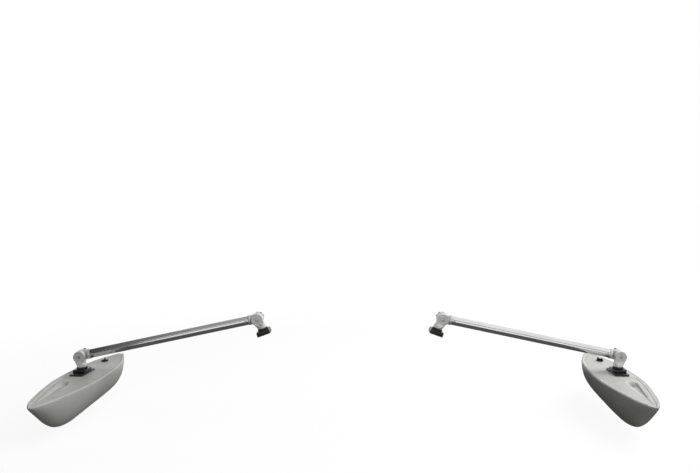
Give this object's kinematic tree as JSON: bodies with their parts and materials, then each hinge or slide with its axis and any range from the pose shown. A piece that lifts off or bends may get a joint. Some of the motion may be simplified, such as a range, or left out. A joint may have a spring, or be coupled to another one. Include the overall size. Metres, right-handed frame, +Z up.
{
  "type": "kayak outrigger pair",
  "caption": "Pair of stabilising floats on tubular arms with toothed pivots, to be bolted to the sides of a small boat.",
  "frame": {"origin": "midway between the seats of the two base mounts", "axes": "+X to the port float, +Y aft, +Z up"},
  "size_m": [2.3889, 0.7438, 0.3942],
  "materials": {
    "polyethylene": "moulded polyethylene, satin",
    "casting": "cast, satin",
    "tube": "drawn and anodised",
    "steel": "stainless",
    "mount_plastic": "black glass-filled nylon",
    "knob_plastic": "black moulded plastic",
    "nylon": "dark grey nylon",
    "rubber": "black"
  },
  "bodies": {
    "base_mounts": {"port_base_plate": "mount_plastic", "port_base_socket": "mount_plastic", "port_base_screw_1": "steel", "port_base_screw_2": "steel", "port_base_screw_3": "steel", "port_base_screw_4": "steel", "starboard_base_plate": "mount_plastic", "starboard_base_socket": "mount_plastic", "starboard_base_screw_1": "steel", "starboard_base_screw_2": "steel", "starboard_base_screw_3": "steel", "starboard_base_screw_4": "steel"},
    "port_base_ring": {"port_base_lock_ring": "mount_plastic"},
    "port_base_stem": {"port_base_knuckle": "casting", "port_inner_pivot_bolt": "steel"},
    "port_inner_knob": {"port_inner_knob": "knob_plastic"},
    "port_arm": {"port_inner_tooth_ring": "nylon", "port_inner_fitting": "casting", "port_inner_tube_screw": "steel", "port_arm_tube": "tube", "port_outer_fitting": "casting", "port_outer_tooth_ring": "nylon", "port_outer_tube_screw": "steel"},
    "port_float_stem": {"port_float_knuckle": "casting", "port_outer_pivot_bolt": "steel"},
    "port_outer_knob": {"port_outer_knob": "knob_plastic"},
    "port_float": {"port_float_plate": "mount_plastic", "port_float_socket": "mount_plastic", "port_float_screw_1": "steel", "port_float_screw_2": "steel", "port_float_screw_3": "steel", "port_float_screw_4": "steel", "port_float_hull": "polyethylene", "port_drain_seal": "rubber"},
    "port_float_ring": {"port_float_lock_ring": "mount_plastic"},
    "port_drain_plug": {"port_drain_plug": "knob_plastic"},
    "starboard_base_ring": {"starboard_base_lock_ring": "mount_plastic"},
    "starboard_base_stem": {"starboard_base_knuckle": "casting", "starboard_inner_pivot_bolt": "steel"},
    "starboard_inner_knob": {"starboard_inner_knob": "knob_plastic"},
    "starboard_arm": {"starboard_inner_tooth_ring": "nylon", "starboard_inner_fitting": "casting", "starboard_inner_tube_screw": "steel", "starboard_arm_tube": "tube", "starboard_outer_fitting": "casting", "starboard_outer_tooth_ring": "nylon", "starboard_outer_tube_screw": "steel"},
    "starboard_float_stem": {"starboard_float_knuckle": "casting", "starboard_outer_pivot_bolt": "steel"},
    "starboard_outer_knob": {"starboard_outer_knob": "knob_plastic"},
    "starboard_float": {"starboard_float_plate": "mount_plastic", "starboard_float_socket": "mount_plastic", "starboard_float_screw_1": "steel", "starboard_float_screw_2": "steel", "starboard_float_screw_3": "steel", "starboard_float_screw_4": "steel", "starboard_float_hull": "polyethylene", "starboard_drain_seal": "rubber"},
    "starboard_float_ring": {"starboard_float_lock_ring": "mount_plastic"},
    "starboard_drain_plug": {"starboard_drain_plug": "knob_plastic"}
  },
  "joints": [
    {"name": "port_base_ring_turn", "type": "hinge", "parent": "base_mounts", "child": "port_base_ring", "pos_m": [0.3565, 0, 0], "axis": [0.342, 0, 0.9397], "range_deg": [0, 90]},
    {"name": "port_base_swivel", "type": "hinge", "parent": "base_mounts", "child": "port_base_stem", "pos_m": [0.3565, 0, 0], "axis": [0.342, 0, 0.9397], "range_deg": [0, 90]},
    {"name": "port_inner_knob_turn", "type": "hinge", "parent": "port_base_stem", "child": "port_inner_knob", "pos_m": [0.38785, 0, 0.06061], "axis": [0, -1, 0], "continuous": true},
    {"name": "port_arm_swing", "type": "hinge", "parent": "port_base_stem", "child": "port_arm", "pos_m": [0.38785, 0, 0.06061], "axis": [0, -1, 0], "range_deg": [0, 96]},
    {"name": "port_float_tilt", "type": "hinge", "parent": "port_arm", "child": "port_float_stem", "pos_m": [1.1332, 0, -0.09781], "axis": [0, -1, 0], "range_deg": [-24, 96]},
    {"name": "port_outer_knob_turn", "type": "hinge", "parent": "port_float_stem", "child": "port_outer_knob", "pos_m": [1.1332, 0, -0.09781], "axis": [0, -1, 0], "continuous": true},
    {"name": "port_float_swivel", "type": "hinge", "parent": "port_float_stem", "child": "port_float", "pos_m": [1.12447, 0, -0.1655], "axis": [0, 0, 1], "range_deg": [-45, 45]},
    {"name": "port_float_ring_turn", "type": "hinge", "parent": "port_float", "child": "port_float_ring", "pos_m": [1.12447, 0, -0.1655], "axis": [0, 0, 1], "range_deg": [0, 90]},
    {"name": "port_drain_plug_turn", "type": "hinge", "parent": "port_float", "child": "port_drain_plug", "pos_m": [1.11819, 0.18023, -0.1658], "axis": [0, 0, 1], "continuous": true},
    {"name": "starboard_base_ring_turn", "type": "hinge", "parent": "base_mounts", "child": "starboard_base_ring", "pos_m": [-0.3565, 0, 0], "axis": [0.342, 0, -0.9397], "range_deg": [0, 90]},
    {"name": "starboard_base_swivel", "type": "hinge", "parent": "base_mounts", "child": "starboard_base_stem", "pos_m": [-0.3565, 0, 0], "axis": [0.342, 0, -0.9397], "range_deg": [0, 90]},
    {"name": "starboard_inner_knob_turn", "type": "hinge", "parent": "starboard_base_stem", "child": "starboard_inner_knob", "pos_m": [-0.38785, 0, 0.06061], "axis": [0, 1, 0], "continuous": true},
    {"name": "starboard_arm_swing", "type": "hinge", "parent": "starboard_base_stem", "child": "starboard_arm", "pos_m": [-0.38785, 0, 0.06061], "axis": [0, 1, 0], "range_deg": [0, 96]},
    {"name": "starboard_float_tilt", "type": "hinge", "parent": "starboard_arm", "child": "starboard_float_stem", "pos_m": [-1.1332, 0, -0.09781], "axis": [0, 1, 0], "range_deg": [-24, 96]},
    {"name": "starboard_outer_knob_turn", "type": "hinge", "parent": "starboard_float_stem", "child": "starboard_outer_knob", "pos_m": [-1.1332, 0, -0.09781], "axis": [0, 1, 0], "continuous": true},
    {"name": "starboard_float_swivel", "type": "hinge", "parent": "starboard_float_stem", "child": "starboard_float", "pos_m": [-1.12447, 0, -0.1655], "axis": [0, 0, -1], "range_deg": [-45, 45]},
    {"name": "starboard_float_ring_turn", "type": "hinge", "parent": "starboard_float", "child": "starboard_float_ring", "pos_m": [-1.12447, 0, -0.1655], "axis": [0, 0, -1], "range_deg": [0, 90]},
    {"name": "starboard_drain_plug_turn", "type": "hinge", "parent": "starboard_float", "child": "starboard_drain_plug", "pos_m": [-1.09627, 0.17812, -0.1658], "axis": [0, 0, -1], "continuous": true}
  ]
}
